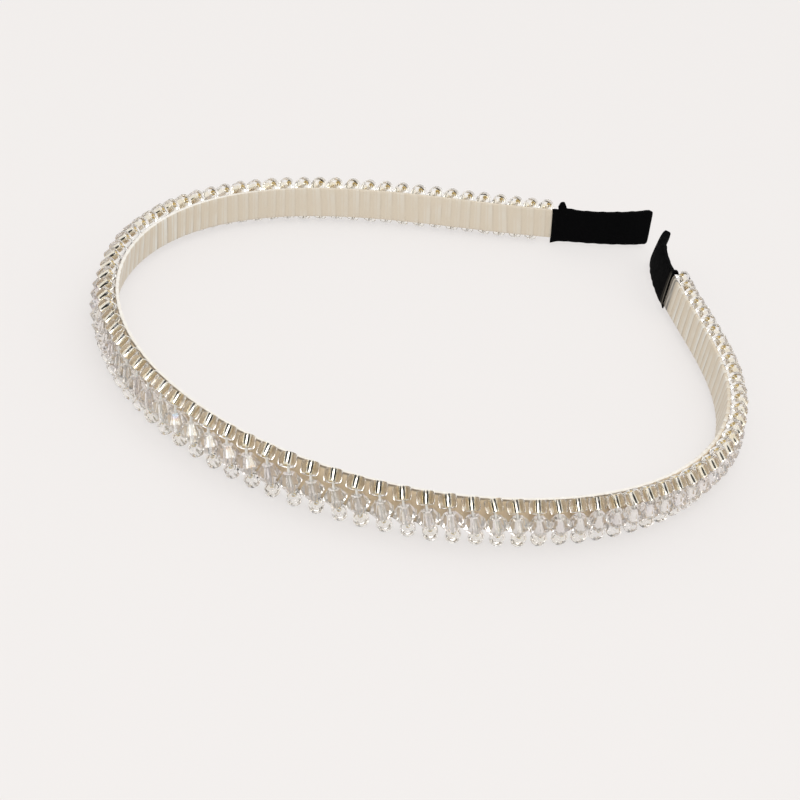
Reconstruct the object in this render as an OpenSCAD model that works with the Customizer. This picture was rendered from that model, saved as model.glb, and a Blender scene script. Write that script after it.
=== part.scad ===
// Beaded headband, lying on its side: a thin spring strip wound with cream ribbon and bent
// round until its two tips nearly meet, with a black woven sleeve on each tip. Short strands
// of three beads, a seed, a crystal and a seed, lie side by side across the outer face.
// Millimetres. +Z is the strip's width, the crown is at -Y and the tips point to +Y.
// A place on the headband is given by the distance along the strip's inner face from the
// crown, negative on the left arm, by the depth outwards from that face, and by the height
// above the strip's middle line.

/* [Strip] */
// Width of the strip over its ribbon
strip_w = 6; // [5.6:0.1:6.2]
// Thickness of the strip over its ribbon
strip_t = 0.8; // [0.5:0.1:0.8]
// Width of the bare strip inside the sleeves
bare_w = 5.6; // [5.4:0.1:5.6]
// Thickness of the bare strip inside the sleeves
bare_t = 0.5; // [0.4:0.1:0.5]
// Lean of each arm's upper edge outwards, where its sleeve begins
arm_lean = 6; // [0:1:10]

/* [Strands] */
// Number of three-bead strands, an odd number so that one sits at the crown
strand_count = 93; // [81:2:93]
// Distance from one strand to the next along the strip's inner face
strand_pitch = 3.45; // [3.45:0.01:3.48]
// Slant of each strand, its lower end towards the right arm
strand_slant = 19; // [15:1:20]

/* [Upper seed beads] */
// Diameter of an upper seed bead
upper_seed_d = 2.9; // [2.7:0.05:2.9]
// Length of an upper seed bead along its hole
upper_seed_l = 2; // [1.8:0.05:2]
// Depth of an upper seed bead's middle
upper_seed_depth = 2.35; // [2.35:0.05:2.5]
// Height of an upper seed bead's middle
upper_seed_height = 2.8; // [2.8:0.05:3]
// Tilt of an upper seed bead's hole, outwards at its lower end
upper_seed_tilt = 42; // [38:1:44]

/* [Crystals] */
// Diameter of the largest crystals, over the corners of the girdle
crystal_d = 4; // [3.5:0.05:4]
// Room between neighbouring crystals, which are a little smaller where they would be crowded
crystal_gap = 0.25; // [0.25:0.01:0.35]
// Length of a crystal along its hole
crystal_l = 3; // [2.6:0.1:3]
// Diameter of the flat table at each end, over its corners
table_d = 1.9; // [1.6:0.1:1.9]
// Diameter of the hole over its corners
crystal_hole_d = 0.9; // [0.8:0.1:1]
// Number of facets round a crystal
crystal_facets = 8; // [8:2:12]
// Depth of a crystal's middle
crystal_depth = 2.78; // [2.78:0.01:2.85]
// Height of a crystal's middle, below the strip's middle line
crystal_height = -0.45; // [-0.5:0.05:-0.45]

/* [Lower seed beads] */
// Diameter of a lower seed bead
lower_seed_d = 2.5; // [2.3:0.05:2.5]
// Length of a lower seed bead along its hole
lower_seed_l = 1.75; // [1.6:0.05:1.75]
// Depth of a lower seed bead's middle
lower_seed_depth = 2.2; // [2.2:0.05:2.3]
// Height of a lower seed bead's middle
lower_seed_height = -3.35; // [-3.4:0.05:-3.35]
// Tilt of a lower seed bead's hole, inwards at its lower end
lower_seed_tilt = 30; // [26:1:32]

/* [Thread] */
// Diameter of the clear thread
thread_d = 0.5; // [0.3:0.05:0.5]
// Length of thread that shows above each crystal
thread_above = 0.35; // [0.1:0.05:0.35]
// Length of thread that shows below each crystal
thread_below = 0.4; // [0.1:0.05:0.4]

/* [Sleeves] */
// Distance from the crown to the left sleeve's mouth
left_mouth = 159.7; // [159.5:0.1:161]
// Distance from the crown to the right sleeve's mouth
right_mouth = 157.6; // [157.6:0.1:161]
// Length of the left sleeve, from its mouth to the tip
left_sleeve_l = 23.8; // [22:0.1:24]
// Length of the right sleeve, from its mouth to the tip
right_sleeve_l = 22; // [20:0.1:23]
// Thickness of a sleeve over its two walls and the strip
sleeve_t = 1.3; // [1.3:0.1:1.8]
// Clearance between the bare strip and the pocket that holds it
pocket_gap = 0.07; // [0.05:0.01:0.1]
// Length of closed fabric beyond the strip's end
closed_end = 1; // [0.8:0.1:2]

/* [Hidden] */

ribbon_colour = [0.86, 0.82, 0.74];
seed_colour = [0.90, 0.87, 0.78, 0.8];
crystal_colour = [0.93, 0.92, 0.95, 0.6];
thread_colour = [0.95, 0.95, 0.93, 0.7];
sleeve_colour = [0.02, 0.02, 0.02];

// How sharply each arm bends, in degrees of turn for each millimetre of strip
// [distance from the crown, bend of the left arm, bend of the right arm]
BENDS = [
    [0, 1.19, 1.19],
    [50, 1.08, 0.92],
    [90, 1.12, 1.10],
    [120, 0.61, 0.97],
    [145, -0.12, 0.04],
    [165, -0.41, -0.80],
    [183, -1.41, -2.90]
];
LEFT = 1;
RIGHT = 2;

last_strand = floor(strand_count / 2);
left_strip_end = left_mouth + left_sleeve_l - closed_end;
right_strip_end = right_mouth + right_sleeve_l - closed_end;
lean_at = 160;
route_end = 190;

// The strip's course: heading in degrees, then the place in plan, summed millimetre by millimetre
function bend(distance, arm) = lookup(distance, [for (row = BENDS) [row[0], row[arm]]]);
function headings(arm) = [
    for (d = 0, turn = 0; d <= route_end; turn = turn + bend(d + 0.5, arm), d = d + 1) [d, turn]
];
function eastings(turns) = [
    for (i = 0, x = 0; i <= route_end; x = x + cos(lookup(i + 0.5, turns)), i = i + 1) [i, x]
];
function northings(turns) = [
    for (i = 0, y = 0; i <= route_end; y = y + sin(lookup(i + 0.5, turns)), i = i + 1) [i, y]
];
turns = [[], headings(LEFT), headings(RIGHT)];
xs = [[], eastings(turns[LEFT]), eastings(turns[RIGHT])];
ys = [[], northings(turns[LEFT]), northings(turns[RIGHT])];

function arm_of(s) = s < 0 ? LEFT : RIGHT;
function heading(s) = sign(s) * lookup(abs(s), turns[arm_of(s)]);
function plan(s) = [sign(s) * lookup(abs(s), xs[arm_of(s)]), lookup(abs(s), ys[arm_of(s)])];
function lean(s) = arm_lean * pow(s / lean_at, 2);

// The point at a distance along the strip, a depth outwards and a height
function place(s, depth, height) =
    let (
        out = depth * cos(lean(s)) + height * sin(lean(s)),
        up = height * cos(lean(s)) - depth * sin(lean(s))
    )
    [plan(s)[0] + out * sin(heading(s)), plan(s)[1] - out * cos(heading(s)), up];

// A rectangle with cut corners, for the section of the strip, a seed row or a sleeve:
// middle, half sizes, cut and turn, as [depth, height] points
function cut_box(middle, half, cut, turn = 0) = [
    for (p = [
        [-half[0], -half[1] + cut], [-half[0] + cut, -half[1]],
        [half[0] - cut, -half[1]], [half[0], -half[1] + cut],
        [half[0], half[1] - cut], [half[0] - cut, half[1]],
        [-half[0] + cut, half[1]], [-half[0], half[1] - cut]
    ])
    [
        middle[0] + p[0] * cos(turn) - p[1] * sin(turn),
        middle[1] + p[0] * sin(turn) + p[1] * cos(turn)
    ]
];
section_sides = 8;

function ring(s, section) = [for (p = section) place(s, p[0], p[1])];
function steps(from, to, count) = [for (i = [0:count]) from + (to - from) * i / count];

// How a strand leans along the strip, less and less towards the right sleeve, and how far
// along from its upper seed it is at a height
slant_end = 155;
slant_fade = 55;
function strand_at(i) = i * strand_pitch;
function slant(i) = strand_slant * min(1, max(0, (slant_end - strand_at(i)) / slant_fade));
function slide(i, height) = (upper_seed_height - height) * tan(slant(i));

// Seed rows, each as the solid that its beads fill
row_cut = 0.45;
upper_reach = strand_at(last_strand) + upper_seed_d / 2;
lower_start = strand_at(-last_strand) + slide(-last_strand, lower_seed_height) - lower_seed_d / 2;
lower_end = strand_at(last_strand) + slide(last_strand, lower_seed_height) + lower_seed_d / 2;
upper_section = cut_box(
    [upper_seed_depth, upper_seed_height], [upper_seed_d / 2, upper_seed_l / 2], row_cut, upper_seed_tilt
);
lower_section = cut_box(
    [lower_seed_depth, lower_seed_height], [lower_seed_d / 2, lower_seed_l / 2], row_cut, -lower_seed_tilt
);
row_rings = 76;
upper_rings = [for (s = steps(-upper_reach, upper_reach, row_rings)) ring(s, upper_section)];
lower_rings = [for (s = steps(lower_start, lower_end, row_rings)) ring(s, lower_section)];

// Sleeves, ring by ring from the mouth to the tip, with the pinched fold near the mouth.
// Its mouth is cut a little askew, further from the crown at one edge by the skew times the height.
// [distance from the mouth, height of the upper edge, drop of the lower edge, extra thickness]
LEFT_FORM = [
    [0, 3.1, 4.1, 0],
    [1.1, 3.1, 3.85, 0.05],
    [1.6, 4.7, 3.75, 0.1],
    [2.2, 4.9, 3.65, 0],
    [2.8, 3.5, 3.6, 0],
    [5.5, 3.25, 3.6, 0],
    [9, 3.2, 3.65, 0],
    [15, 3.35, 3.75, 0.05],
    [20, 3.5, 3.9, 0.05],
    [21.8, 3.6, 3.9, 0.2],
    [22.3, 3.3, 3.7, -0.3]
];
RIGHT_FORM = [
    [0, 4.2, 3.5, 0.3],
    [0.6, 4.1, 3.45, 0.2],
    [1.3, 3.5, 3.45, 0],
    [4, 3.35, 3.45, 0],
    [8, 3.3, 3.35, 0],
    [13, 3.35, 3.3, 0],
    [17, 3.4, 3.4, 0.15],
    [20.2, 3.5, 3.5, 0.5],
    [21.3, 3.55, 3.5, 0.6],
    [22, 3.45, 3.45, 0.45],
    [22.3, 3.2, 3.2, 0]
];
sleeve_cut = 0.35;
form_length = 22.3;

left_skew = -0.16;
right_skew = 0.25;
skew_fades_over = 4;

function sleeve_section(row) = cut_box(
    [strip_t / 2, (row[1] - row[2]) / 2], [(sleeve_t + row[3]) / 2, (row[1] + row[2]) / 2], sleeve_cut
);
function sleeve_rings(form, side, mouth, length, skew) = [
    for (row = form)
        let (
            along = row[0] * length / form_length,
            slope = skew * max(0, 1 - along / skew_fades_over)
        )
        [for (p = sleeve_section(row)) place(side * (mouth + along + p[1] * slope), p[0], p[1])]
];
left_rings = sleeve_rings(LEFT_FORM, -1, left_mouth, left_sleeve_l, left_skew);
right_rings = sleeve_rings(RIGHT_FORM, 1, right_mouth, right_sleeve_l, right_skew);

// Sections of the wound strip, of the bare strip in its pocket, and of the part of a sleeve's
// outer wall that is cut back to clear the last strand
strip_cut = 0.2;
bare_cut = 0.15;
strip_section = cut_box([strip_t / 2, 0], [strip_t / 2, strip_w / 2], strip_cut);
bare_section = cut_box([strip_t / 2, 0], [bare_t / 2, bare_w / 2], bare_cut);
pocket_section = cut_box(
    [strip_t / 2, 0], [bare_t / 2 + pocket_gap, bare_w / 2 + pocket_gap], bare_cut
);
strand_cut_middle = [1.1, -0.2];
strand_cut_half = [0.5, 3.5];
strand_cut_section = cut_box(strand_cut_middle, strand_cut_half, bare_cut);
strand_cut_end = 160.4;
ribbon_stop = 1.2;
strip_rings = 94;
bare_rings = 12;
pocket_rings = 12;
pocket_mouth = 2;

// Crystals. Two neighbours stand side by side and, being slanted, one a step up from the other,
// so the girdle of one lies beside the taper of the other. Each is sized to the room that leaves.
flat = cos(180 / crystal_facets);
function crystal_s(i) = strand_at(i) + slide(i, crystal_height);
function crystal_at(i) = place(crystal_s(i), crystal_depth, crystal_height);
function room(i) = norm(crystal_at(i + 1) - crystal_at(i));
function nesting(i) = room(i) * sin(slant(i)) / (crystal_l / 2);
function fitting_width(i) =
    (room(i) * cos(slant(i)) - crystal_gap - nesting(i) * table_d / 2 * flat) / (1 - nesting(i) / 2) / flat;
function crystal_width(i) = min(crystal_d, fitting_width(i - 1), fitting_width(i));

// The whole object's reach, which sets the origin at the middle of its base
function girdle_reach(i) = crystal_depth + crystal_width(i) / 2 * flat;
bead_side_xs = [
    for (i = [-last_strand:last_strand]) place(crystal_s(i), girdle_reach(i), crystal_height)[0]
];
tip_ys = [
    for (rings = [left_rings, right_rings], points = rings, p = points) p[1]
];
seed_zs = [for (points = lower_rings, p = points) p[2]];
middle_x = (max(bead_side_xs) + min(bead_side_xs)) / 2;
middle_y = (max(tip_ys) - girdle_reach(0)) / 2;
base_z = min(seed_zs);

module seated() {
    translate([-middle_x, -middle_y, -base_z]) children();
}

// Carries a shape to a strand's crystal, +X outwards and +Z up along the slanting thread
module on_strand(i) {
    s = crystal_s(i);
    translate(crystal_at(i)) rotate([0, lean(s), heading(s) - 90]) rotate([slant(i), 0, 0]) children();
}

// Skin round a list of rings, closed at both ends; reverse turns the faces of a left-hand sweep
module sweep(rings, reverse = false) {
    n = len(rings[0]);
    last = len(rings) - 1;
    walls = [
        for (i = [0:last - 1], j = [0:n - 1])
            let (a = i * n + j, b = i * n + (j + 1) % n)
            [a, b, b + n, a + n]
    ];
    ends = [[for (j = [n - 1:-1:0]) j], [for (j = [0:n - 1]) last * n + j]];
    faces = concat(walls, ends);
    points = [for (r = rings, p = r) p];
    turned = [for (f = faces) [for (k = [len(f) - 1:-1:0]) f[k]]];
    polyhedron(points, reverse ? turned : faces, convexity = 12);
}

module wrapped_strip() {
    left_ribbon = left_mouth - ribbon_stop;
    right_ribbon = right_mouth - ribbon_stop;
    color(ribbon_colour)
        sweep(concat(
            [for (s = steps(-left_strip_end, -left_ribbon, bare_rings)) ring(s, bare_section)],
            [for (s = steps(-left_ribbon, right_ribbon, strip_rings)) ring(s, strip_section)],
            [for (s = steps(right_ribbon, right_strip_end, bare_rings)) ring(s, bare_section)]
        ));
}

module seed_row(rings) {
    color(seed_colour) sweep(rings);
}

// How far a strand sits from its even place: a small slip along its own length and a twist
function slip(i) = 0.06 * sin(211 * i);
function twist(i) = 1.5 * sin(97 * i);

// A faceted crystal bead with a girdle, a table at each end and a hole
module crystal(width, turn) {
    profile = [
        [crystal_hole_d / 2, crystal_l / 2],
        [table_d / 2, crystal_l / 2],
        [width / 2, 0],
        [table_d / 2, -crystal_l / 2],
        [crystal_hole_d / 2, -crystal_l / 2]
    ];
    n = crystal_facets;
    m = len(profile);
    points = [
        for (p = profile, j = [0:n - 1])
            let (angle = (j + 0.5) * 360 / n + turn)
            [p[0] * cos(angle), p[0] * sin(angle), p[1]]
    ];
    faces = [
        for (i = [0:m - 1], j = [0:n - 1])
            let (a = i * n + j, b = i * n + (j + 1) % n, c = ((i + 1) % m) * n)
            [a, b, c + (j + 1) % n, c + j]
    ];
    polyhedron(points, faces, convexity = 4);
}

module crystals(first, last) {
    color(crystal_colour)
        for (i = [first:last])
            on_strand(i)
                translate([0, 0, slip(i)])
                    crystal(crystal_width(i), twist(i));
}

module thread_run() {
    color(thread_colour)
        for (i = [-last_strand:last_strand])
            on_strand(i)
                translate([0, 0, -crystal_l / 2 - thread_below])
                    cylinder(d = thread_d, h = crystal_l + thread_below + thread_above, $fn = 8);
}

module pocket(side, from, to, section) {
    sweep([for (s = steps(from, to, pocket_rings)) ring(side * s, section)], side < 0);
}

module sleeve(rings, side, mouth, end) {
    color(sleeve_colour)
        difference() {
            sweep(rings, side < 0);
            pocket(side, mouth - pocket_mouth, end + pocket_gap, pocket_section);
            pocket(side, mouth - pocket_mouth, strand_cut_end, strand_cut_section);
        }
}

seated() wrapped_strip();
seated() seed_row(upper_rings);  // upper_seed_row
seated() crystals(-last_strand, -1);  // left_crystals
seated() crystals(0, last_strand);  // right_crystals
seated() seed_row(lower_rings);  // lower_seed_row
seated() thread_run();  // thread
seated() sleeve(left_rings, -1, left_mouth, left_strip_end);  // left_sleeve
seated() sleeve(right_rings, 1, right_mouth, right_strip_end);  // right_sleeve
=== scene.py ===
"""The looks of the beaded headband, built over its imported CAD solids.

The strip's course, the sizes of the beads and the forms of the sleeves repeat the named sizes of
the part's source, in millimetres. Each mesh is worked out in millimetres from the strip's inner
face at the crown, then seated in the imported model's own frame, in metres.

A place on the headband is a distance along the strip from the crown, negative on the left arm, a
depth outwards from the strip's inner face and a height above its middle line.
"""

import sys

import logging
import math
from dataclasses import dataclass, field
from enum import Enum

import bpy
import numpy as np
from mathutils import Matrix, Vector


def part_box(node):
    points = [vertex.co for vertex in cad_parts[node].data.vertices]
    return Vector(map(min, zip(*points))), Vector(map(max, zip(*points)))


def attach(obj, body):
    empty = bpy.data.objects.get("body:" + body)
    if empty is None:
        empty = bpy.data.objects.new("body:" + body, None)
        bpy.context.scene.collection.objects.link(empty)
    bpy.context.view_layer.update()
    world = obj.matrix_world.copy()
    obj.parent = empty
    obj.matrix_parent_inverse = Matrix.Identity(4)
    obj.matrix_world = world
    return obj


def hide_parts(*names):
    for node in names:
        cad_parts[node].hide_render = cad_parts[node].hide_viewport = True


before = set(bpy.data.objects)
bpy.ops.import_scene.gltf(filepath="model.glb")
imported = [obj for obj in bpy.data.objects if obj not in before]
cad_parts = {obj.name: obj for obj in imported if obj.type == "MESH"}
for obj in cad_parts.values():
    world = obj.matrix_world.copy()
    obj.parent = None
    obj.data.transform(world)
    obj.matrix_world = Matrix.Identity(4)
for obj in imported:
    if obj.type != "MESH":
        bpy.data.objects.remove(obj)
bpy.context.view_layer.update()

Array = np.ndarray
Colour = tuple[float, float, float]
Pair = tuple[float, float]
Row = tuple[float, ...]
Table = tuple[Row, ...]
Material = bpy.types.Material
Socket = bpy.types.NodeSocket
MM = 0.001
BODY = "root"
LIGHT_BOUNCES = 24

log = logging.getLogger("headband")


class Arm(Enum):
    """An arm of the headband, with the sign of its distances from the crown."""

    LEFT = -1
    RIGHT = 1


@dataclass
class Course:
    """The curve of the strip's inner face, and the leaning axes that it carries.

    The bends are in degrees of turn for each millimetre of strip, at stations from the crown.
    """

    stations: Row = (0, 50, 90, 120, 145, 165, 183)
    left_bends: Row = (1.19, 1.08, 1.12, 0.61, -0.12, -0.41, -1.41)
    right_bends: Row = (1.19, 0.92, 1.10, 0.97, 0.04, -0.80, -2.90)
    lean: float = 6.0
    lean_at: float = 160.0
    route_end: int = 190
    seat: Array = field(default_factory=lambda: np.zeros(3))

    def __post_init__(self) -> None:
        """Walks both arms once."""
        self.marks = np.arange(self.route_end + 1)
        self.left = self.walk(self.left_bends)
        self.right = self.walk(self.right_bends)

    def walk(self, bends: Row) -> Array:
        """The heading and the place in plan at each whole millimetre of one arm.

        The heading is the running sum of the bend at each half millimetre. The place is the
        running sum of the heading's cosine and sine, read halfway along each millimetre.

        Args:
            bends: the arm's bend at each station.

        Returns:
            Rows of heading in degrees, easting and northing in millimetres.
        """
        halves = self.marks[:-1] + 0.5
        heading = np.concatenate([[0.0], np.cumsum(np.interp(halves, self.stations, bends))])
        turn = np.radians(np.interp(halves, self.marks, heading))
        east = np.concatenate([[0.0], np.cumsum(np.cos(turn))])
        north = np.concatenate([[0.0], np.cumsum(np.sin(turn))])
        return np.stack([heading, east, north])

    def read(self, row: int, s: Array) -> Array:
        """One row of the walked tables at distances s, from the arm that each lies on."""
        left = np.interp(np.abs(s), self.marks, self.left[row])
        return np.where(s < 0, left, np.interp(np.abs(s), self.marks, self.right[row]))

    def axes(self, s: Array) -> tuple[Array, Array, Array]:
        """Unit vectors outwards, along the strip and up across its width.

        The level outward direction is the heading turned a quarter turn to the right. Outwards
        and up are that direction and the vertical, turned by the lean, which grows with the
        square of the distance from the crown.

        Args:
            s: distances along the strip.

        Returns:
            Three arrays with a last axis of three.
        """
        turn = np.radians(np.sign(s) * self.read(0, s))
        lean = np.radians(self.lean * (s / self.lean_at) ** 2)[..., None]
        zero = 0 * turn
        level = np.stack([np.sin(turn), -np.cos(turn), zero], axis=-1)
        along = np.stack([np.cos(turn), np.sin(turn), zero], axis=-1)
        out, up = turned(level, np.array([0.0, 0.0, 1.0]), lean)
        return out, along, up

    def place(self, s: Array, depth: Array, height: Array, aside: Array | float = 0.0) -> Array:
        """Points at a depth and height beside the strip: the place in plan plus steps on its axes.

        Args:
            s: distances along the strip.
            depth: steps outwards.
            height: steps up.
            aside: steps along the strip's direction, without following its bend.

        Returns:
            Points in millimetres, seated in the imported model's frame.
        """
        s, depth, height, aside = np.broadcast_arrays(s, depth, height, aside)
        out, along, up = self.axes(s)
        plan = np.stack([np.sign(s) * self.read(1, s), self.read(2, s), np.zeros(s.shape)], axis=-1)
        moved = out * depth[..., None] + up * height[..., None] + along * aside[..., None]
        return plan + moved + self.seat


def turned(x: Array, y: Array, angle: Array) -> tuple[Array, Array]:
    """Two coordinates turned by an angle, from the first towards the second."""
    cos, sin = np.cos(angle), np.sin(angle)
    return x * cos - y * sin, x * sin + y * cos


def skin_faces(rings: int, sides: int, looped: bool = False) -> Array:
    """Faces of a skin of rings that are closed round: two neighbours and the same two a ring on.

    Args:
        rings: how many rings.
        sides: points in each ring.
        looped: whether the last ring joins the first.

    Returns:
        Rows of four point numbers.
    """
    spans = rings if looped else rings - 1
    r, k = np.meshgrid(np.arange(spans), np.arange(sides), indexing="ij")
    a, b = r * sides + k, r * sides + (k + 1) % sides
    ahead = ((r + 1) % rings) * sides
    return np.stack([a, b, ahead + (k + 1) % sides, ahead + k], axis=-1).reshape(-1, 4)


def repeated(faces: Array, points: int, count: int) -> Array:
    """The same faces for each of count copies that hold this many points each."""
    return (faces[None] + np.arange(count)[:, None, None] * points).reshape(-1, faces.shape[-1])


def fan_faces(ring: Array, tip: int) -> Array:
    """Triangles from a closed ring of point numbers to one tip."""
    return np.stack([ring, np.roll(ring, -1), np.full(len(ring), tip)], axis=-1)


def tube_faces(rings: int, sides: int) -> list[Array]:
    """The wall and the two caps of a closed tube, whose two poles come after its rings."""
    ring, pole = np.arange(sides), rings * sides
    caps = [fan_faces(ring[::-1], pole), fan_faces(ring + pole - sides, pole + 1)]
    return [skin_faces(rings, sides), *caps]


def tube_uvs(sheet: Array) -> Array:
    """The UVs of a closed tube, corner by corner: those of a sheet of rings, nought on the caps."""
    wall = np.stack([sheet[:-1, :-1], sheet[:-1, 1:], sheet[1:, 1:], sheet[1:, :-1]], axis=2)
    caps = np.zeros((2 * 3 * (sheet.shape[1] - 1), 2))
    return np.concatenate([wall.reshape(-1, 2), caps])


def with_poles(rings: Array) -> Array:
    """The points of rings in one long row, then the middles of the first and the last ring."""
    return np.concatenate([rings.reshape(-1, 3), rings[[0, -1]].mean(axis=1)])


def rounded(half: Array, power: float, sides: int) -> Array:
    """A rectangle with round corners, as a superellipse.

    Each coordinate is its half size times the sign of the circle's own, times that one's size
    raised to two over the power, so points crowd at the corners.

    Args:
        half: half sizes, with a last axis of two.
        power: two for an ellipse, more for squarer corners.
        sides: points round it.

    Returns:
        Points round the outline, on the axis before the last.
    """
    turn = np.linspace(0, 2 * math.pi, sides, endpoint=False) + math.pi / sides
    circle = np.stack([np.cos(turn), np.sin(turn)], axis=-1)
    return half[..., None, :] * np.sign(circle) * np.abs(circle) ** (2 / power)


def girth(outline: Array) -> Array:
    """The length round a closed outline at each of its points, with the full length last."""
    steps = np.linalg.norm(np.roll(outline, -1, axis=0) - outline, axis=-1)
    return np.concatenate([[0.0], np.cumsum(steps)])


def smooth_step(x: Array, start: float = 0.0, span: float = 1.0) -> Array:
    """A soft rise from nought to one: three x squared less two x cubed, for x over its span."""
    x = np.clip((x - start) / span, 0, 1)
    return x * x * (3 - 2 * x)


def wavy(base: Array, x: Array, waves: Table) -> Array:
    """A base with sine waves added to it, each given by its size, its rate and its start."""
    return sum((size * np.sin(x * rate + start) for size, rate, start in waves), base)


def stripes(x: Array, pitch: float) -> Array:
    """A cosine wave from nought to one and back over each pitch."""
    return 0.5 - 0.5 * np.cos(2 * math.pi * x / pitch)


def linked(name: str, data: bpy.types.ID) -> bpy.types.Object:
    """A new object of this name and data, linked into the scene."""
    thing = bpy.data.objects.new(name, data)
    bpy.context.scene.collection.objects.link(thing)
    return thing


@dataclass
class Skin:
    """A mesh on its way into Blender: points in millimetres, faces and what they carry.

    Tones are numbers at the points. The last points, which a tone leaves out, have nought.
    """

    name: str
    points: Array
    faces: list[Array]
    finishes: list[Material]
    slot: str
    uvs: Array | None = None
    tones: dict[str, Array] = field(default_factory=dict)
    finish_of: Array | None = None
    crease: float = 65.0

    def facing_out(self) -> list[Array]:
        """The faces, turned round and in the opposite order if their volume comes out negative.

        Six times the volume is the sum of each fan's corner dot corner cross corner.
        """
        volume = 0.0
        for part in self.faces:
            for k in range(1, part.shape[1] - 1):
                a, b, c = (self.points[part[:, i]] for i in (0, k, k + 1))
                volume += np.einsum("ij,ij->", a, np.cross(b, c))
        return self.faces if volume > 0 else [part[::-1, ::-1] for part in self.faces[::-1]]

    def build(self, *replaced: str) -> None:
        """Makes the object, seats it on the body and lets it stand for CAD nodes.

        Args:
            replaced: the CAD nodes that it replaces.
        """
        faces = self.facing_out()
        order = 1 if faces is self.faces else -1
        mesh = bpy.data.meshes.new(self.name)
        rows = [row for part in faces for row in part.tolist()]
        mesh.from_pydata((self.points * MM).tolist(), [], rows)
        if self.uvs is not None:
            uvs = self.uvs[::order].astype(np.float32)
            mesh.uv_layers.new(name="UVMap").data.foreach_set("uv", uvs.ravel())
        for name, tone in self.tones.items():
            values = np.zeros(len(self.points), dtype=np.float32)
            values[:tone.size] = tone.ravel()
            mesh.attributes.new(name, "FLOAT", "POINT").data.foreach_set("value", values)
        for finish in self.finishes:
            mesh.materials.append(finish)
        if self.finish_of is not None:
            mesh.polygons.foreach_set("material_index", self.finish_of[::order].astype(np.int32))
        mesh.polygons.foreach_set("use_smooth", np.ones(len(rows), dtype=bool))
        mesh.update()
        mesh.set_sharp_from_angle(angle=math.radians(self.crease))
        piece = linked(self.name, mesh)
        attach(piece, BODY)
        if replaced:
            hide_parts(*replaced)
        log.info("%s: %d faces", self.name, len(rows))


class Recipe:
    """A node tree, of a material or a world, with short calls that add a node and join it up."""

    def __init__(self, name: str, kind: str = "materials") -> None:
        """Starts an empty node tree.

        Args:
            name: the name of its material or world.
            kind: where bpy.data keeps blocks of that kind.
        """
        self.material = getattr(bpy.data, kind).new(name)
        self.material.use_nodes = True
        self.tree = self.material.node_tree
        self.tree.nodes.clear()
        self.places = self.add("TexCoord").outputs

    def add(self, kind: str, settings: dict | None = None, **inputs: object) -> bpy.types.Node:
        """Adds a node, with its settings, and fills or joins its inputs.

        Args:
            kind: the node's type, without the words ShaderNode.
            settings: the node's own properties.
            inputs: sockets by name, with underscores for spaces, or by number as in_0.

        Returns:
            The new node.
        """
        node = self.tree.nodes.new("ShaderNode" + kind)
        for key, value in (settings or {}).items():
            setattr(node, key, value)
        for key, value in inputs.items():
            socket = node.inputs[int(key[3:]) if key[:3] == "in_" else key.replace("_", " ")]
            if isinstance(value, Socket):
                self.tree.links.new(value, socket)
            else:
                socket.default_value = value
        return node

    def math(self, operation: str, *terms: object) -> Socket:
        """Adds a Math node on up to three terms and returns its result."""
        inputs = {f"in_{i}": term for i, term in enumerate(terms)}
        return self.add("Math", {"operation": operation}, **inputs).outputs[0]

    def blend(self, share: object, one: object, other: Colour) -> Socket:
        """Mixes two colours and returns the result: one at share nought, other at one."""
        one = (*one, 1) if isinstance(one, tuple) else one
        mix = self.add("Mix", {"data_type": "RGBA"}, in_0=share, in_6=one, in_7=(*other, 1))
        return mix.outputs[2]

    def ramp(self, value: object, *stops: tuple[float, Colour]) -> Socket:
        """Adds a colour ramp.

        Args:
            value: the place on it, from nought to one.
            stops: places on it, each with its colour.

        Returns:
            The colour at the value.
        """
        node = self.add("ValToRGB", in_0=value)
        elements = node.color_ramp.elements
        while len(elements) < len(stops):
            elements.new(0.5)
        for element, (at, colour) in zip(elements, stops):
            element.position = at
            element.color = (*colour, 1.0)
        return node.outputs[0]

    def spread(self, value: object, low: float, high: float) -> Socket:
        """Maps nought to one onto low to high and returns the result."""
        return self.add("MapRange", in_0=value, in_3=low, in_4=high).outputs[0]

    def noise(self, scale: float, detail: float = 2.0) -> Socket:
        """Adds a noise texture over the place on the piece, in metres, and returns its value."""
        where = self.places["Object"]
        return self.add("TexNoise", Vector=where, Scale=scale, Detail=detail).outputs[0]

    def weave(self, a: Socket, b: Socket, rates: Pair) -> Socket:
        """The product of a sine wave of each place, at its own rate."""
        waves = (self.math("SINE", self.math("MULTIPLY", *pair)) for pair in zip((a, b), rates))
        return self.math("MULTIPLY", *waves)

    def cloth_place(self) -> list[Socket]:
        """The piece's own UV map, as its two coordinates."""
        return self.add("SeparateXYZ", in_0=self.places["UV"]).outputs[:2]

    def tone(self, name: str) -> Socket:
        """A number that the mesh carries at its points."""
        return self.add("Attribute", {"attribute_name": name}).outputs["Fac"]

    def bump(self, height: object, strength: float, distance: float) -> Socket:
        """Adds a bump of this height, in metres at full strength, and returns its normal."""
        return self.add("Bump", Height=height, Strength=strength, Distance=distance).outputs[0]

    def finish(self, **inputs: object) -> Material:
        """Adds the Principled shader with these inputs, joins it up and returns the material."""
        shader = self.add("BsdfPrincipled", **inputs)
        self.add("OutputMaterial", in_0=shader.outputs[0])
        return self.material


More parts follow.
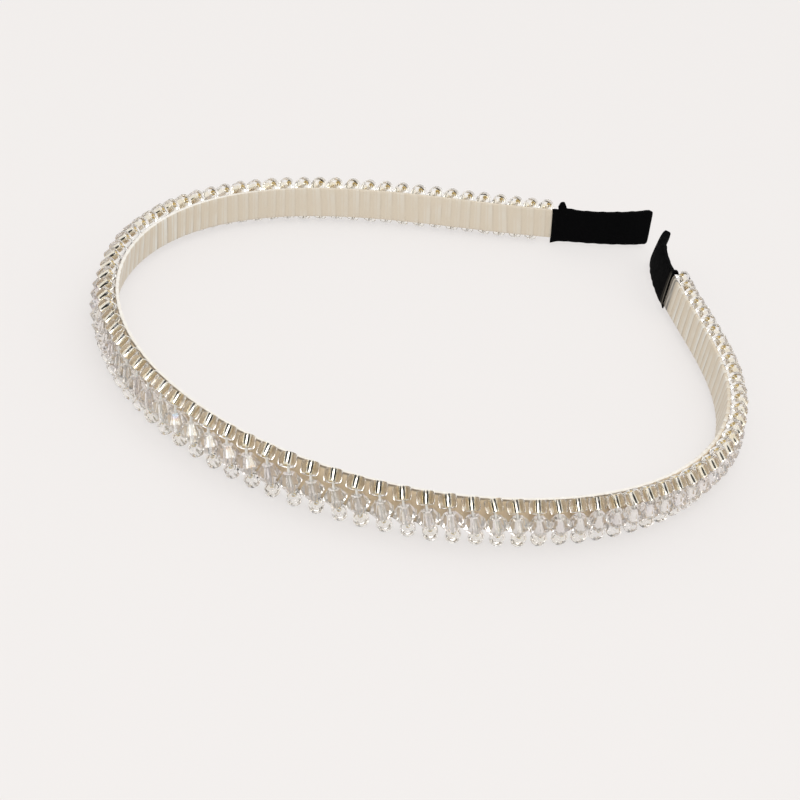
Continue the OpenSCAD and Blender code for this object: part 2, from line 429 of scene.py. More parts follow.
@dataclass(frozen=True)
class RibbonFinish:
    """Sheer cream ribbon: satin, fine cross threads, and a painted shadow at each turn's lap."""

    warm: Colour = (0.625, 0.542, 0.422)
    pale: Colour = (0.71, 0.688, 0.625)
    # painted shadow under each lap's edge, also the shade between the weave's threads
    shadow_brown: Colour = (0.42, 0.345, 0.255)
    plain: Colour = (0.63, 0.56, 0.455)
    under: Colour = (0.07, 0.066, 0.062)
    # painted light: the outer face behind the beads, painted a brighter tan for the light that the
    # glass beads let through
    backing: Colour = (1.0, 0.80, 0.55)
    # painted shade: the dark line where the beads shadow the ribbon's outer face
    gap_shade: Colour = (0.10, 0.08, 0.06)
    # painted highlight on the upper edge, where light falls on the top
    rim_highlight: Colour = (0.85, 0.83, 0.79)
    calm: Pair = (2.5, -0.85)
    threads: Pair = (60.0, 252.0)
    thread_shade: float = 0.05
    roughness: Pair = (0.42, 0.6)
    relief: Pair = (0.35, 0.00003)

    def make(self) -> Material:
        """Builds it: the UV map holds the turns along the strip and the share of the way round.

        Each turn runs from a painted shadow under its lap edge through pale and warm bands. Slow
        noise calms the bands, and the mesh's tones lay other colours over them: a plainer colour on
        the left arm, the black tape under the sheer ribbon, painted shade beside the beads, a
        painted highlight on the upper edge and painted light on the outer face.
        """
        r = Recipe("ribbon_satin")
        turn, around = r.cloth_place()
        lap = r.math("FRACT", turn)
        drift = r.noise(220.0, 3.0)
        cloth = r.ramp(
            lap, (0.0, self.shadow_brown), (0.09, self.pale), (0.3, self.pale), (0.42, self.warm),
            (0.5, self.pale), (0.62, self.warm), (0.88, self.warm), (1.0, self.shadow_brown),
        )
        cloth = r.blend(r.math("MULTIPLY_ADD", drift, *self.calm), cloth, self.warm)
        cloth = r.blend(r.tone("even"), cloth, self.plain)
        weave = r.weave(lap, around, self.threads)
        shade = r.math("MULTIPLY_ADD", weave, self.thread_shade, self.thread_shade)
        cloth = r.blend(shade, cloth, self.shadow_brown)
        # painted light and shade over the cloth: the outer face lit brighter, shade beside the
        # beads and a highlight on the upper edge; the sheer tone is the black tape under the ribbon
        over = {"outer": self.backing, "painted_gap_shade": self.gap_shade, "rim_highlight": self.rim_highlight, "sheer": self.under}
        for tone, colour in over.items():
            cloth = r.blend(r.tone(tone), cloth, colour)
        return r.finish(
            Base_Color=cloth,
            Roughness=r.spread(drift, *self.roughness),
            Normal=r.bump(r.math("MULTIPLY_ADD", drift, 0.8, weave), *self.relief),
            Sheen_Weight=0.1,
        )


@dataclass(frozen=True)
class SeedGlassFinish:
    """Clear seed glass, a little warmer in some beads than in others."""

    clear: Colour = (1.0, 0.995, 0.98)
    warm: Colour = (0.99, 0.96, 0.88)
    roughness: Pair = (0.0, 0.06)
    relief: Pair = (0.2, 0.00008)

    def make(self) -> Material:
        """Builds it: each bead's own tone tints it, and a faint ripple bends what shows through."""
        r = Recipe("seed_glass")
        return r.finish(
            Base_Color=r.blend(r.tone("warmth"), self.clear, self.warm),
            Roughness=r.spread(r.noise(1800.0), *self.roughness),
            Normal=r.bump(r.noise(700.0), *self.relief),
            IOR=1.5,
            Transmission_Weight=1.0,
        )


@dataclass(frozen=True)
class LiningFinish:
    """The silver lining of a seed bead's hole, gone golden in places."""

    silver: Colour = (0.97, 0.95, 0.89)
    gold: Colour = (0.90, 0.76, 0.46)
    least_gold: float = 0.4
    roughness: Pair = (0.02, 0.1)
    relief: Pair = (0.15, 0.00005)

    def make(self) -> Material:
        """Builds it: gold where the noise's square is strong, most of all in the warmer beads."""
        r = Recipe("silver_lining")
        age = r.noise(900.0, 3.0)
        warmth = r.math("ADD", r.tone("warmth"), self.least_gold)
        share = r.math("MULTIPLY", r.math("POWER", age, 2.0), warmth)
        return r.finish(
            Base_Color=r.blend(share, self.silver, self.gold),
            Metallic=1.0,
            Roughness=r.spread(age, *self.roughness),
            Normal=r.bump(age, *self.relief),
        )


@dataclass(frozen=True)
class PaintFinish:
    """The golden brown paint over the silver lining, which shows only in the mouth of a hole."""

    gold: Colour = (0.98, 0.86, 0.50)
    brown: Colour = (0.88, 0.70, 0.36)
    roughness: Pair = (0.3, 0.5)
    relief: Pair = (0.2, 0.00003)

    def make(self) -> Material:
        """Builds it: noise browns and roughens the paint in places."""
        r = Recipe("hole_paint")
        wear = r.noise(1500.0, 3.0)
        return r.finish(
            Base_Color=r.blend(wear, self.gold, self.brown),
            Metallic=0.3,
            Roughness=r.spread(wear, *self.roughness),
            Normal=r.bump(wear, *self.relief),
        )


@dataclass(frozen=True)
class CrystalFinish:
    """Clear cut crystal with a faint rainbow coat, whose thickness wanders from bead to bead."""

    clear: Colour = (1.0, 0.98, 0.94)
    lilac: Colour = (0.99, 0.95, 0.95)
    clearness: float = 0.88
    coat_noise: Pair = (0.5, 0.72)
    coat_nanometres: Pair = (82.0, 250.0)
    roughness: Pair = (0.0, 0.05)

    def make(self) -> Material:
        """Builds it: slow noises set the tint and the coat's thickness, a fine one the polish.

        Where the coat's noise is under its lower bound, the coat is thin and colourless.
        """
        r = Recipe("cut_crystal")
        (low, high), (thin, thick) = self.coat_noise, self.coat_nanometres
        coat = r.noise(230.0, 1.0)
        film = r.add("MapRange", in_0=coat, in_1=low, in_2=high, in_3=thin, in_4=thick)
        return r.finish(
            Base_Color=r.ramp(r.noise(160.0), (0.35, self.clear), (0.65, self.lilac)),
            Roughness=r.spread(r.noise(1500.0), *self.roughness),
            IOR=1.56,
            Transmission_Weight=self.clearness,
            Thin_Film_Thickness=film.outputs[0],
            Thin_Film_IOR=1.7,
        )


@dataclass(frozen=True)
class ThreadFinish:
    """Clear nylon thread, whitish where it is drawn tight."""

    white: Colour = (0.96, 0.95, 0.92)
    dull: Colour = (0.88, 0.85, 0.79)
    roughness: Pair = (0.2, 0.4)
    relief: Pair = (0.2, 0.00002)

    def make(self) -> Material:
        """Builds it: noise clouds the nylon, and fine noise scuffs it."""
        r = Recipe("nylon_thread")
        cloud = r.noise(1200.0)
        return r.finish(
            Base_Color=r.blend(cloud, self.white, self.dull),
            Roughness=r.spread(cloud, *self.roughness),
            Normal=r.bump(r.noise(5000.0), *self.relief),
            Transmission_Weight=0.15,
            IOR=1.5,
        )


@dataclass(frozen=True)
class SleeveFinish:
    """Matte black woven tape, with a veil of sheer ribbon over it where the mesh says so."""

    black: Colour = (0.0012, 0.0012, 0.0014)
    worn: Colour = (0.004, 0.004, 0.0045)
    ribbon: Colour = (0.16, 0.145, 0.12)
    pitch: float = 0.28
    lint_on_weave: Pair = (0.2, 0.9)
    roughness: Pair = (0.85, 0.97)
    relief: Pair = (0.5, 0.00005)

    def make(self) -> Material:
        """Builds it: a plain weave over the UV map, which is in millimetres, with lint on it."""
        r = Recipe("black_tape")
        weave = r.weave(*r.cloth_place(), (2 * math.pi / self.pitch,) * 2)
        lint = r.noise(900.0, 4.0)
        share = r.math("MULTIPLY", lint, r.spread(weave, *self.lint_on_weave))
        cloth = r.blend(share, self.black, self.worn)
        return r.finish(
            Base_Color=r.blend(r.tone("veil"), cloth, self.ribbon),
            Roughness=r.spread(lint, *self.roughness),
            Specular_IOR_Level=0.04,
            Normal=r.bump(r.math("MULTIPLY_ADD", lint, 0.6, weave), *self.relief),
        )


@dataclass(frozen=True)
class PaperFinish:
    """The pale ground that the headband lies on."""

    tone: Colour = (0.2, 0.1955, 0.1933)
    lighter: float = 1.02
    shine: Colour = (1.0, 0.965, 0.947)
    glow: float = 0.635

    def make(self) -> Material:
        """Builds it: matte paper with a very fine grain, lit a little from beneath."""
        r = Recipe("pale_ground")
        white = tuple(share * self.lighter for share in self.tone)
        return r.finish(
            Base_Color=r.blend(r.noise(40.0), self.tone, white),
            Roughness=0.8,
            Specular_IOR_Level=0.2,
            Emission_Color=(*self.shine, 1),
            Emission_Strength=self.glow,
        )


@dataclass
class WrappedStrip:
    """The spring strip under its ribbon, whose turns lap one another, bare inside the sleeves.

    Each lap wave has its size in turns, its length in millimetres a radian and its start. What is
    named most is how far a tone goes towards another colour.
    """

    course: Course
    width: float = 6.0
    thickness: float = 0.8
    bare_width: float = 5.6
    bare_thickness: float = 0.5
    cut: float = 0.2
    squareness: float = 6.0
    mouths: Pair = (-159.7, 157.6)
    mouth_skew: float = 0.25
    ribbon_stop: float = 1.2
    packed_rings: int = 95
    ends: Pair = (-182.4, 178.5)
    strand_pitch: float = 3.45
    lap_pitch: float = 2.5
    lap_waves: Table = ((0.3, 7.3, 0.0), (0.22, 3.1, 1.0), (0.3, 17.0, 0.0))
    lap_rise: float = 0.07
    fold_rise: float = 0.02
    fold_rate: float = 2.6
    fold_wander: Pair = (0.3, 5.0)
    sunk: float = 0.04
    # painted light on the outer face, behind the beads
    outer_most: float = 0.85
    outer_rise: Pair = (2.2, 0.9)
    # painted shade on the outer face, in the gap beside the beads
    gap_shade_most: float = 0.92
    gap_shade_height: float = 2.8
    gap_shade_spread: Pair = (0.16, 0.07)
    rim_highlight_most: float = 0.75
    # painted highlight on the upper edge
    even_most: float = 0.6
    sheer_reach: float = 3.6
    sheer_pitch: float = 0.36
    sheer_start: float = 0.05
    sheer_levels: Pair = (0.25, 0.7)
    rings: int = 2000
    sides: int = 36

    def seat(self) -> None:
        """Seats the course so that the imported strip's lowest corner is where this one's is.

        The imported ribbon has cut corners, and stops just short of the sleeves.
        """
        left, right = self.mouths
        s = np.linspace(left + self.ribbon_stop, right - self.ribbon_stop, self.packed_rings)
        half = np.array([self.thickness, self.width]) / 2
        square = np.array([[-1, 1], [-1, 1], [1, 1], [1, 1]]) * half
        corner = square - np.array([[0, 1], [-1, 0], [1, 0], [0, 1]]) * self.cut
        section = np.concatenate([corner, corner * [1, -1]])
        points = self.course.place(s[:, None], half[0] + section[:, 0], section[:, 1])
        low = np.array(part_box("wrapped_strip")[0]) / MM
        self.course.seat = self.course.seat + low - points.min(axis=(0, 1))

    def laps(self, s: Array) -> Array:
        """The count of turns at distances s, with slow waves that make the laps uneven."""
        uneven = sum(size * np.sin(s / length + start) for size, length, start in self.lap_waves)
        return s / self.lap_pitch + uneven

    def proud(self, s: Array, turns: Array) -> Array:
        """How far the ribbon stands out: the lap's rise times what is left of the turn.

        So each lap is a small step and a slope down from it, with folds as a wave of the turn.

        Args:
            s: distances along the strip.
            turns: the count of turns at each point.

        Returns:
            Steps out from the plain section.
        """
        rest = turns - np.floor(turns)
        size, length = self.fold_wander
        folds = np.sin(2 * math.pi * (self.fold_rate * turns + size * np.sin(s / length)))
        step = self.lap_rise * (1 - rest) * smooth_step(rest, span=0.1)
        return step + self.fold_rise * folds - self.sunk

    def painted_gap_shade(self, s: Array, height: Array, outer: Array) -> Array:
        """Painted shade on the ribbon's outer face, in a line along each edge of the beads.

        The line is a bell curve of the height, wider between one strand and the next, where the
        shade in the gap beside the beads is painted darkest. It fades out on the arms, away from
        the crown.

        Args:
            s: distances along the strip.
            height: heights on it.
            outer: how far each point lies on the outer face.

        Returns:
            The tone at each point.
        """
        mean, more = self.gap_shade_spread
        spread = mean + more * np.cos(2 * math.pi * (s / self.strand_pitch - 0.5))
        line = np.exp(-(((np.abs(height) - self.gap_shade_height) / spread) ** 2))
        return self.gap_shade_most * outer * line * (1 - smooth_step(np.abs(s), start=65, span=20))

    def rim_highlight(self, s: Array, height: Array) -> Array:
        """Painted highlight: how pale the ribbon is over its upper edge, fading out on the arms."""
        crown = 1 - smooth_step(np.abs(s), start=80, span=30)
        return self.rim_highlight_most * smooth_step(height, start=2.88, span=0.08) * crown

    def sheer(self, s: Array, height: Array) -> Array:
        """How dark the ribbon is where its last turns on the right arm lie over the black tape.

        Stripes that follow the slanting mouth, fading out over the far half of their reach.

        Args:
            s: distances along the strip.
            height: heights on it.

        Returns:
            The tone at each point.
        """
        near = (self.mouths[1] + self.mouth_skew * height - s) / self.sheer_reach
        plain, striped = self.sheer_levels
        level = plain + striped * stripes(near + self.sheer_start, self.sheer_pitch)
        return np.where(s > 0, (1 - smooth_step(near, start=0.45, span=0.5)) * level, 0.0)

    def build(self, finish: Material) -> None:
        """Builds the ribbon's skin.

        The section is a rounded rectangle carried along the course, smaller inside the sleeves,
        and moved out along its normal by what stands proud. A turn advances by one each time
        round, so the steps slant across the width. The outer tone is nought on the inner face
        and one on the outer face, behind the beads, which it paints a brighter tan: painted
        light in place of the light that the glass beads let through.

        Args:
            finish: the ribbon's material.
        """
        s = np.linspace(*self.ends, self.rings)[:, None]
        past_mouth = np.where(s < 0, self.mouths[0] - s, s - self.mouths[1])
        inside = smooth_step(past_mouth, start=1.3, span=0.8)
        full = np.array([self.thickness, self.width]) / 2
        bare = np.array([self.bare_thickness, self.bare_width]) / 2
        half = full + inside * (bare - full)
        outline = rounded(half, self.squareness, self.sides)
        length = girth(rounded(full, self.squareness, self.sides))
        share = length / length[-1]
        turns = self.laps(s) + share
        proud = self.proud(s, turns[:, :-1]) * (1 - inside)
        slope = outline / half[:, None, :] ** 2
        outward = slope / np.linalg.norm(slope, axis=-1, keepdims=True)
        depth, height = np.moveaxis(outline + proud[..., None] * outward, -1, 0)
        gain, less = self.outer_rise
        outer = smooth_step(outline[..., 0] / half[:, :1] * gain - less)
        even = self.even_most * smooth_step(-s, start=70, span=30)
        edge = outline[..., 1]
        Skin(
            name="ribbon",
            points=with_poles(self.course.place(s, self.thickness / 2 + depth, height)),
            faces=tube_faces(self.rings, self.sides),
            finishes=[finish],
            slot="ribbon",
            uvs=tube_uvs(np.stack([turns, np.broadcast_to(share, turns.shape)], axis=-1)),
            tones={
                "sheer": self.sheer(s, edge),
                # painted light: the outer face behind the beads painted a brighter tan
                "outer": self.outer_most * outer,
                # painted shade beside the beads
                "painted_gap_shade": self.painted_gap_shade(s, edge, outer),
                # painted highlight on the upper edge
                "rim_highlight": self.rim_highlight(s, edge),
                "even": even * np.ones(self.sides),
            },
        ).build("wrapped_strip")


@dataclass
class Strands:
    """Where the strands sit, how they slant, and how unevenly their beads hang.

    A strand slants towards the right arm as it goes down, less and less near the right sleeve.
    """

    course: Course
    count: int = 93
    pitch: float = 3.45
    slant_degrees: float = 19.0
    slant_end: float = 155.0
    slant_fade: float = 55.0
    top: float = 2.8
    seed: int = 7

    def __post_init__(self) -> None:
        """Sets out the strands and their slants, and starts the seeded unevenness."""
        self.s = (np.arange(self.count) - self.count // 2) * self.pitch
        share = np.clip((self.slant_end - self.s) / self.slant_fade, 0, 1)
        self.slant = np.radians(self.slant_degrees) * share
        self.chance = np.random.default_rng(self.seed)

    def slide(self, height: Array) -> Array:
        """How far along from its upper seed a strand is at each height, one row a strand."""
        return (self.top - height) * np.tan(self.slant)[:, None]

    def uneven(self, spread: float) -> Array:
        """One number for each strand, about nought, never past twice the spread."""
        return np.clip(self.chance.normal(0, spread, self.count), -2 * spread, 2 * spread)


@dataclass
class SeedRow:
    """A row of silver-lined seed beads, one to each strand.

    What is painted is given as shares of half the length, and the coat's walls as shares of the
    hole's radius. The chances are how unevenly the beads' size, spin in radians, sway and tilt in
    degrees, depth, height, place along the strip and warmth are spread.
    """

    name: str
    node: str
    strands: Strands
    diameter: float
    length: float
    depth: float
    height: float
    tilt: float
    hole: float
    painted: Pair = (-0.92, 0.92)
    coat: Pair = (0.93, 0.85)
    mouth_share: float = 0.94
    end_inset: float = 0.17
    flank_inset: float = 0.02
    chamfer: float = 0.28
    sway_share: float = 0.5
    chances: Row = (0.008, 0.5, 5.0, 1.0, 0.03, 0.02, 0.06, 0.3)
    sides: int = 12
    coat_sides: int = 6

    def glass_profile(self) -> Array:
        """Half of a bead's section as radius and height, from the hole's foot round to its top."""
        r, h, w = self.diameter / 2, self.length / 2, self.hole / 2
        end, flank = (r - self.end_inset, -h), (r - self.flank_inset, self.chamfer - h)
        lower = [(w, -self.mouth_share * h), end, flank]
        return np.array(lower + [(a, -b) for a, b in reversed(lower)])

    def coat_profile(self) -> Array:
        """Half of the section of the coat of paint in the hole, from its outer foot round."""
        low, high = (share * self.length / 2 for share in self.painted)
        outer, inner = (share * self.hole / 2 for share in self.coat)
        return np.array([(outer, low), (inner, low), (inner, high), (outer, high)])

    @staticmethod
    def spun(ring: Array, sides: int) -> Array:
        """A section spun about its own axis, by the sine and cosine of each side's angle.

        Args:
            ring: rows of radius and height.
            sides: how many sides.

        Returns:
            Points in one long row.
        """
        turn = np.arange(sides) * 2 * math.pi / sides
        radius, height = ring[:, :1], ring[:, 1:] + np.zeros(sides)
        points = np.stack([radius * np.cos(turn), radius * np.sin(turn), height], axis=-1)
        return points.reshape(-1, 3)

    def build(self, *finishes: Material) -> None:
        """Builds all the beads as one mesh.

        Each bead is its two profiles spun about its hole, turned by chance, made a little larger
        or smaller, swayed along the strip by a share of its strand's slant, tilted in or out,
        and set beside the strip.

        Args:
            finishes: the materials of the glass, the hole's wall and the paint inside it.
        """
        t = self.strands
        glass, coat = self.glass_profile(), self.coat_profile()
        bead = self.spun(glass, self.sides)
        form = np.concatenate([bead, self.spun(coat, self.coat_sides)])
        uneven = np.stack([t.uneven(chance) for chance in self.chances])[..., None]
        size, spin, sway, tilt, out, up, along, warmth = uneven
        x, y, z = (row * (1 + size) for row in form.T)
        x, y = turned(x, y, spin)
        y, z = turned(y, z, np.radians(sway) + self.sway_share * t.slant[:, None])
        x, z = turned(x, z, np.radians(self.tilt + tilt))
        middle = t.s[:, None] + t.slide(np.array([self.height]))
        points = t.course.place(middle, self.depth + out + x, self.height + up + z, y + along)
        walls = skin_faces(len(glass), self.sides, looped=True)
        paint = skin_faces(len(coat), self.coat_sides, looped=True)[:, ::-1] + len(bead)
        kind = np.repeat([0, 1, 2], [len(walls) - self.sides, self.sides, len(paint)])
        Skin(
            name=self.name,
            points=points.reshape(-1, 3),
            faces=[repeated(np.concatenate([walls, paint]), len(form), t.count)],
            finishes=list(finishes),
            slot="seed_glass",
            tones={"warmth": np.repeat(np.abs(warmth), len(form))},
            finish_of=np.tile(kind, t.count),
            crease=40.0,
        ).build(self.node)


@dataclass
class CrystalRow:
    """The cut crystals, which keep their CAD solids."""

    nodes: tuple[str, ...] = ("left_crystals", "right_crystals")

    def dress(self, finish: Material) -> None:
        """Gives the CAD nodes their material.

        Args:
            finish: the crystals' material.
        """
        for name in self.nodes:
            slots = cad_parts[name].data.materials
            slots.clear()
            slots.append(finish)
            log.info("%s: dressed", name)


@dataclass
class Thread:
    """The clear thread of each strand, from one edge of the strip through its beads to the other.

    The path's rows are its points' depths, their heights and how much they have of the loops'
    thinness.
    """

    strands: Strands
    radius: float = 0.24
    loop: float = 0.085
    sides: int = 5
    path: Table = (
        (0.60, 0.74, 1.15, 1.65, 2.35, 2.78, 2.78, 2.20, 1.72, 1.20, 0.76, 0.60),
        (2.70, 2.98, 3.30, 3.42, 2.80, 1.38, -2.25, -3.35, -4.05, -3.80, -3.10, -2.80),
        (1.0, 1.0, 1.0, 1.0, 0.3, 0.0, 0.0, 0.3, 1.0, 1.0, 1.0, 1.0),
    )

    def build(self, finish: Material) -> None:
        """Builds all the threads as one mesh.

        Each thread is a ring of points carried along a path of depths and heights. Its two cross
        directions are the strip's own and the one square to both that and the path.

        Args:
            finish: the thread's material.
        """
        t = self.strands
        route = np.array(self.path).T
        ahead = np.gradient(route[:, :2], axis=0)
        ahead /= np.linalg.norm(ahead, axis=-1, keepdims=True)
        radius = self.radius + (self.loop - self.radius) * route[:, 2]
        turn = np.arange(self.sides) * 2 * math.pi / self.sides
        across = radius[:, None] * np.cos(turn)
        depth = route[:, :1] + across * ahead[:, 1:]
        height = route[:, 1:2] - across * ahead[:, :1]
        aside = radius[:, None] * np.sin(turn)
        middle = t.s[:, None] + t.slide(route[:, 1])
        points = t.course.place(middle[:, :, None], depth, height, aside)
        tips = t.course.place(middle[:, [0, -1]], route[[0, -1], 0], route[[0, -1], 1])
        points = np.concatenate([points.reshape(t.count, -1, 3), tips], axis=1)
        each = points.shape[1]
        Skin(
            name="thread_loops",
            points=points.reshape(-1, 3),
            faces=[repeated(part, each, t.count) for part in tube_faces(len(route), self.sides)],
            finishes=[finish],
            slot="thread",
        ).build("thread")


@dataclass
class Sleeve:
    """A black woven sleeve over one tip, with a pinched fold near its mouth.

    The rows of the form are distances from the mouth, and there the height of the upper edge, the
    drop of the lower edge and the extra thickness. The mouth is cut askew: by the skew for each
    millimetre of height, and by the cut back for the whole outer wall, which leaves room for
    the last strand. The veil is how much the ribbon's last turns show over its inner face.

    The edges' waves, the swell and the ripple start with a size and go on with rates.
    """

    name: str
    node: str
    arm: Arm
    course: Course
    form: Table
    mouth: float
    length: float
    skew: float
    cut_back: float
    veil: float = 0.0
    veil_reach: float = 2.2
    veil_pitch: float = 0.5
    thickness: float = 1.3
    form_length: float = 22.3
    skew_fade: float = 5.0
    cut_over: float = 0.5
    squareness: float = 5.0
    upper_waves: Table = ((0.03, 1.9, 0.5), (0.02, 3.7, 0.0))
    lower_waves: Table = ((0.03, 2.3, 1.0),)
    swell: Row = (0.03, 1.3, 0.9)
    ripple: Pair = (0.02, 2.1)
    pinch: float = 0.3
    strip_thickness: float = 0.8
    pocket_at: Row = (0.0, 0.5, 1.5, 2.6, 8.0, 15.0)
    pocket_squareness: float = 6.0
    narrows: Pair = (1.5, 2.6)
    ribbon_room: Pair = (0.49, 3.1)
    bare_room: Pair = (0.35, 2.9)
    closed_end: float = 1.0
    rings: int = 120
    sides: int = 56

    def outline(self, t: Array) -> tuple[Array, Array]:
        """Depths and heights of the outer skin at distances t from the mouth.

        The section is a rounded rectangle between the upper and the lower edge. Its faces swell
        and sink in slow waves, and what stands above the plain edge is pinched thin.

        Args:
            t: distances from the mouth.

        Returns:
            Depths and heights, one row for each distance.
        """
        upper, lower, extra = (np.interp(t, self.form[0], row) for row in self.form[1:])
        upper, lower = wavy(upper, t, self.upper_waves), wavy(lower, t, self.lower_waves)
        half = np.stack([(self.thickness + extra) / 2, (upper + lower) / 2], axis=-1)
        section = rounded(half, self.squareness, self.sides)
        height = section[..., 1] + ((upper - lower) / 2)[:, None]
        size, rate, height_rate = self.swell
        wave = size * np.sin(t * rate)[:, None] * np.cos(height * height_rate)
        size, rate = self.ripple
        wave = wave + size * np.sin(t[:, None] * rate + height)
        pinch = 1 - self.pinch * smooth_step(height, start=3.5, span=0.7)
        depth = section[..., 0] * pinch + wave * np.sign(section[..., 0])
        return depth + self.strip_thickness / 2, height

    def pocket(self, t: Array) -> tuple[Array, Array]:
        """Depths and heights of the inner skin, which narrows from the ribbon to the bare strip.

        Args:
            t: distances from the mouth.

        Returns:
            Depths and heights, one row for each distance.
        """
        share = np.interp(t, self.narrows, [0.0, 1.0])[:, None]
        half = np.array(self.ribbon_room) * (1 - share) + np.array(self.bare_room) * share
        inner = rounded(half, self.pocket_squareness, self.sides)
        return inner[..., 0] + self.strip_thickness / 2, inner[..., 1]

    def build(self, finish: Material) -> None:
        """Builds the sleeve as one closed skin: over the outside, in at the mouth, down the pocket.

        Args:
            finish: the tape's material.
        """
        t_out = np.linspace(self.form_length, 0, self.rings)
        t_in = np.array([*self.pocket_at, self.form_length - self.closed_end])
        depth, height = map(np.concatenate, zip(self.outline(t_out), self.pocket(t_in)))
        t = np.concatenate([t_out, t_in])[:, None] * self.length / self.form_length
        left = 1 - smooth_step(t, span=self.skew_fade)
        outer = np.clip((depth - self.strip_thickness / 2) / self.cut_over, 0, 1)
        below = 1 - smooth_step(height, start=3.1, span=0.4)
        along = t + left * (self.skew * height + self.cut_back * outer * below)
        points = self.course.place(self.arm.value * (self.mouth + along), depth, height)
        near = t / self.veil_reach
        veil = self.veil * (stripes(near, self.veil_pitch) * (1 - smooth_step(near))) * below
        around = girth(np.stack([depth[self.rings // 2], height[self.rings // 2]], axis=-1))
        reach = np.concatenate([t_out, -t_in])
        Skin(
            name=self.name,
            points=with_poles(points),
            faces=tube_faces(len(t), self.sides),
            finishes=[finish],
            slot="sleeve_fabric",
            uvs=tube_uvs(np.stack(np.meshgrid(reach, around, indexing="ij"), axis=-1)),
            tones={"veil": np.where(depth < self.strip_thickness / 2, veil, 0.0)},
            crease=70.0,
        ).build(self.node)


LEFT_FORM = (
    (0, 1.1, 1.6, 2.2, 2.8, 5.5, 9, 15, 20, 21.8, 22.3),
    (3.1, 3.1, 4.7, 4.9, 3.5, 3.25, 3.2, 3.35, 3.5, 3.6, 3.3),
    (4.1, 3.85, 3.75, 3.65, 3.6, 3.6, 3.65, 3.75, 3.9, 3.9, 3.7),
    (0, 0.05, 0.1, 0, 0, 0, 0, 0.05, 0.05, 0.2, -0.3),
)
RIGHT_FORM = (
    (0, 0.6, 1.3, 4, 8, 13, 17, 20.2, 21.3, 22, 22.3),
    (4.2, 4.1, 3.5, 3.35, 3.3, 3.35, 3.4, 3.5, 3.55, 3.45, 3.2),
    (3.5, 3.45, 3.45, 3.45, 3.35, 3.3, 3.4, 3.5, 3.5, 3.45, 3.2),
    (0.3, 0.2, 0, 0, 0, 0, 0.15, 0.5, 0.6, 0.45, 0),
)


@dataclass
class Softbox:
    """An oblong soft light that looks at the middle of the headband."""

    name: str
    azimuth: float
    elevation: float
    distance: float
    width: float
    depth: float
    watts: float

    def build(self) -> None:
        """Makes the light and aims it; azimuth runs clockwise from +Y, seen from above."""
        place = bearing(self.azimuth, self.elevation) * self.distance
        light = bpy.data.lights.new(self.name, "AREA")
        light.shape = "RECTANGLE"
        light.size, light.size_y = self.width, self.depth
        light.energy = self.watts
        back = place / np.linalg.norm(place)
        right = np.cross([0.0, 0.0, 1.0], back)
        right /= np.linalg.norm(right)
        lamp = linked(self.name, light)
        lamp.matrix_world = stood(place, right, np.cross(back, right), back)


def bearing(azimuth: float, elevation: float) -> Array:
    """The direction at an azimuth, clockwise from +Y seen from above, and an elevation."""
    a, e = math.radians(azimuth), math.radians(elevation)
    return np.array([math.sin(a) * math.cos(e), math.cos(a) * math.cos(e), math.sin(e)])


def stood(place: Array, *axes: Array) -> Matrix:
    """A matrix that stands something at a place, given its own X, Y and Z directions."""
    matrix = Matrix(np.stack(axes, axis=-1).tolist()).to_4x4()
    matrix.translation = place.tolist()
    return matrix


@dataclass
class Studio:
    """A pale ground in a bright soft room with three dark flags in it.

    The flags are what draws the dark streaks in the beads' silver linings. Each is given by its
    azimuth, its elevation and its radius, in degrees.
    """

    ground: float = 3.0
    room: float = 0.86
    matt_extra: float = 0.05
    flag: float = 0.015
    flags: Table = ((88.0, 34.0, 30.0), (200.0, 23.0, 30.0), (172.0, 4.0, 13.0))
    flag_softness: float = 2.0
    lit: Colour = (1.0, 0.99, 0.975)
    seen: Colour = (0.86, 0.84, 0.82)
    softboxes: tuple[Softbox, ...] = (
        Softbox("key", 15.0, 66.0, distance=1.1, width=0.7, depth=0.7, watts=1.3),
        Softbox("front", 152.0, 50.0, distance=0.9, width=0.5, depth=0.45, watts=2.6),
    )

    def build(self) -> None:
        """Builds the ground, the room and the lights."""
        corners = np.array([(-1, -1, 0), (1, -1, 0), (1, 1, 0), (-1, 1, 0)]) * self.ground
        mesh = bpy.data.meshes.new("ground")
        mesh.from_pydata(corners.tolist(), [], [(0, 1, 2, 3)])
        mesh.materials.append(PaperFinish().make())
        floor = linked("ground", mesh)
        self.light_room()
        for softbox in self.softboxes:
            softbox.build()
        log.info("studio: ground and %d softboxes", len(self.softboxes))

    def light_room(self) -> None:
        """Lights the room evenly, but for the flags, each a soft-edged disc round its direction.

        A flag's share is a smooth step of the dot product of the ray and the flag's direction.
        Light that falls straight on a matt surface passes the flags by and is a little stronger.
        """
        r = Recipe("room", "worlds")
        ray = r.places["Generated"]
        shade = 0.0
        for azimuth, elevation, radius in self.flags:
            toward = bearing(azimuth, elevation).tolist()
            settings = {"operation": "DOT_PRODUCT"}
            near = r.add("VectorMath", settings, in_0=ray, in_1=toward).outputs[1]
            edges = [math.cos(math.radians(radius + side * self.flag_softness)) for side in (1, -1)]
            settings = {"interpolation_type": "SMOOTHSTEP"}
            disc = r.add("MapRange", settings, in_0=near, in_1=edges[0], in_2=edges[1]).outputs[0]
            shade = r.math("MAXIMUM", disc, shade)
        rays = r.add("LightPath").outputs
        matt = rays["Is Diffuse Ray"]
        level = r.spread(r.math("SUBTRACT", shade, matt), self.room, self.flag)
        level = r.math("MULTIPLY_ADD", matt, self.matt_extra, level)
        lit = r.add("Background", Color=(*self.lit, 1), Strength=level).outputs[0]
        plain = r.add("Background", Color=(*self.seen, 1)).outputs[0]
        mixed = r.add("MixShader", in_0=rays["Is Camera Ray"], in_1=lit, in_2=plain)
        r.add("OutputWorld", in_0=mixed.outputs[0])
        bpy.context.scene.world = r.material


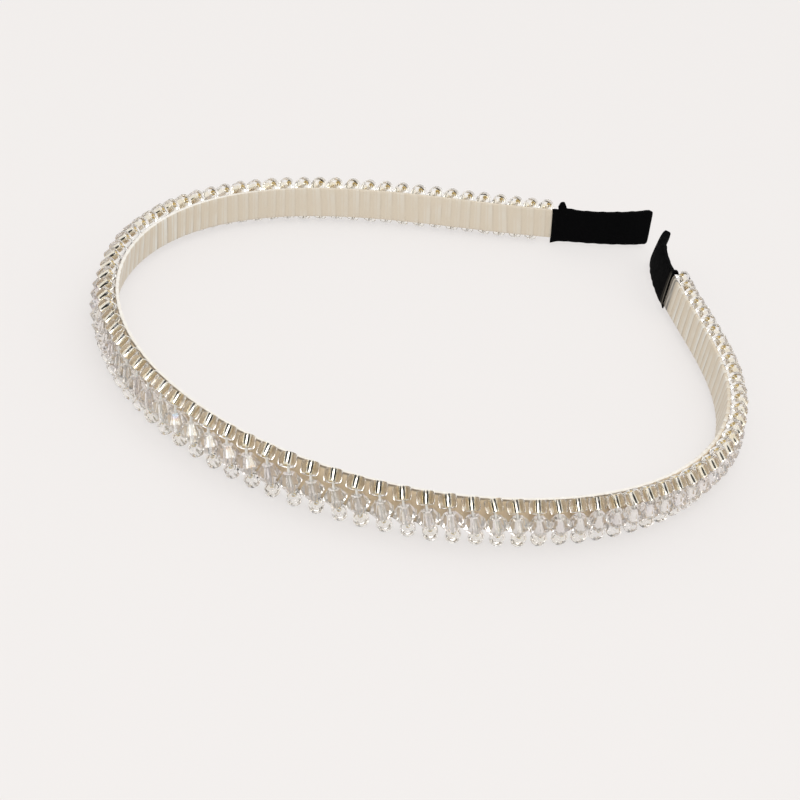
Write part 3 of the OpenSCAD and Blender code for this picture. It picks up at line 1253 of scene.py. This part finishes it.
@dataclass
class Camera:
    """The photograph's viewpoint, from a camera fitted to the headband's edges and beads."""

    place: Row = (142.0, -202.4, 155.9)
    turn: float = 28.917
    pitch: float = 120.064
    roll: float = 14.395
    lens: float = 84.43
    sensor: float = 36.0
    clip: float = 0.01

    def build(self, course: Course) -> None:
        """Makes the scene's camera and turns it: about the vertical, then down, then rolled.

        Args:
            course: the strip's course, whose seat the camera shares.
        """
        turn = Matrix.Rotation(math.radians(self.roll), 3, "Z")
        turn = turn @ Matrix.Rotation(math.radians(self.pitch), 3, "X")
        turn = turn @ Matrix.Rotation(math.radians(-self.turn), 3, "Z")
        right, down, ahead = (np.array(row) for row in turn)
        data = bpy.data.cameras.new("camera")
        data.lens = self.lens
        data.sensor_width = self.sensor
        data.clip_start = self.clip
        camera = linked("camera", data)
        place = (np.array(self.place) + course.seat) * MM
        camera.matrix_world = stood(place, right, -down, -ahead)
        bpy.context.scene.camera = camera
        log.info("camera: %.1f mm lens", self.lens)


def main() -> None:
    """Builds the camera, the studio and each piece of the headband in turn."""
    logging.basicConfig(level=logging.INFO, format="%(name)s: %(message)s", stream=sys.stdout)
    bpy.context.scene.view_settings.view_transform = "Standard"
    for limit in ("max_bounces", "transmission_bounces", "glossy_bounces"):
        setattr(bpy.context.scene.cycles, limit, LIGHT_BOUNCES)
    course = Course()
    strip = WrappedStrip(course)
    strip.seat()
    Camera().build(course)
    Studio().build()
    strip.build(RibbonFinish().make())
    glass, lining, paint = SeedGlassFinish().make(), LiningFinish().make(), PaintFinish().make()
    strands = Strands(course)
    SeedRow(
        "upper_seeds", "upper_seed_row", strands,
        diameter=2.9, length=2.0, depth=2.35, height=2.8, tilt=42.0, hole=1.05,
    ).build(glass, lining, paint)
    SeedRow(
        "lower_seeds", "lower_seed_row", strands,
        diameter=2.5, length=1.75, depth=2.2, height=-3.27, tilt=-30.0, hole=0.8,
        painted=(0.55, 0.92),
    ).build(glass, glass, paint)
    CrystalRow().dress(CrystalFinish().make())
    Thread(strands).build(ThreadFinish().make())
    tape = SleeveFinish().make()
    Sleeve(
        "left_tape", "left_sleeve", Arm.LEFT, course, LEFT_FORM,
        mouth=-strip.mouths[0], length=23.8, skew=-0.16, cut_back=0.8,
    ).build(tape)
    Sleeve(
        "right_tape", "right_sleeve", Arm.RIGHT, course, RIGHT_FORM,
        mouth=strip.mouths[1], length=22.0, skew=strip.mouth_skew, cut_back=2.7, veil=1.0,
    ).build(tape)


if __name__ == "__main__":
    main()
